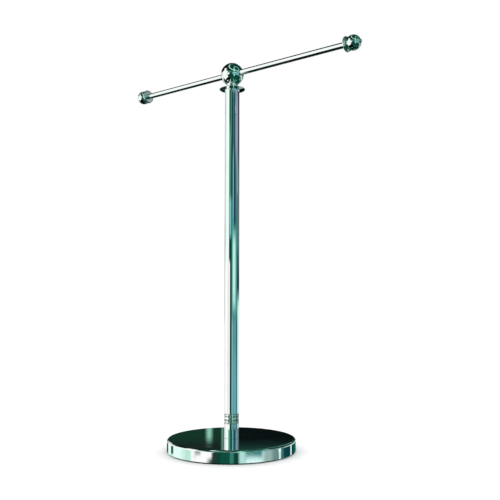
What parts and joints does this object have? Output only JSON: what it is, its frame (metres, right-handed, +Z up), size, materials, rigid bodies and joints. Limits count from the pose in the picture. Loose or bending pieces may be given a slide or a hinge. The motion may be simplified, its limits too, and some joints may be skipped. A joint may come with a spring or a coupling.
{
  "type": "headphone stand",
  "caption": "T-shaped headphone stand: a weighted round base, a tubular post with a turned ring, and a sliding crossbar with ball ends held by a swivelling ball.",
  "frame": {"origin": "centre of the base's underside, on the post's axis, at the surface the stand rests on", "axes": "+Z up along the post; +X along the crossbar, towards the end that stands farther out; +Y towards the side of the ball with the grub screw"},
  "size_m": [0.2262, 0.099, 0.3068],
  "materials": {
    "chrome": "mirror-polished chrome plate",
    "zinc_plate": "zinc-plated steel hardware",
    "cast_iron": "sand cast, dark",
    "foam": "closed-cell foam rubber",
    "nylon": "natural nylon",
    "brass": "turned brass"
  },
  "bodies": {
    "stand": {"foot_pad": "foam", "base_weight": "cast_iron", "base_shell": "chrome", "base_bolt": "zinc_plate", "base_flat_washer": "zinc_plate", "base_spring_washer": "zinc_plate", "post_ferrule": "chrome", "bead_ring": "chrome", "post_bottom_insert": "zinc_plate", "post_tube": "chrome", "post_top_bush": "brass", "flange_disc": "chrome"},
    "head": {"swivel_washer": "nylon", "swivel_spring_washer": "zinc_plate", "swivel_nut": "zinc_plate", "pivot_stud": "zinc_plate", "hub_ball": "chrome", "bar_grub_screw": "zinc_plate"},
    "bar": {"crossbar": "chrome", "right_collar": "chrome", "right_ball": "chrome", "right_end_screw": "chrome", "left_collar": "chrome", "left_ball": "chrome", "left_end_screw": "chrome"}
  },
  "joints": [
    {"name": "head_swivel", "type": "hinge", "parent": "stand", "child": "head", "pos_m": [0, 0, 0.2976], "axis": [0, 0, 1], "continuous": true},
    {"name": "crossbar_slide", "type": "slide", "parent": "head", "child": "bar", "axis": [1, 0, 0], "range_m": [-0.0948, 0.0856]}
  ]
}
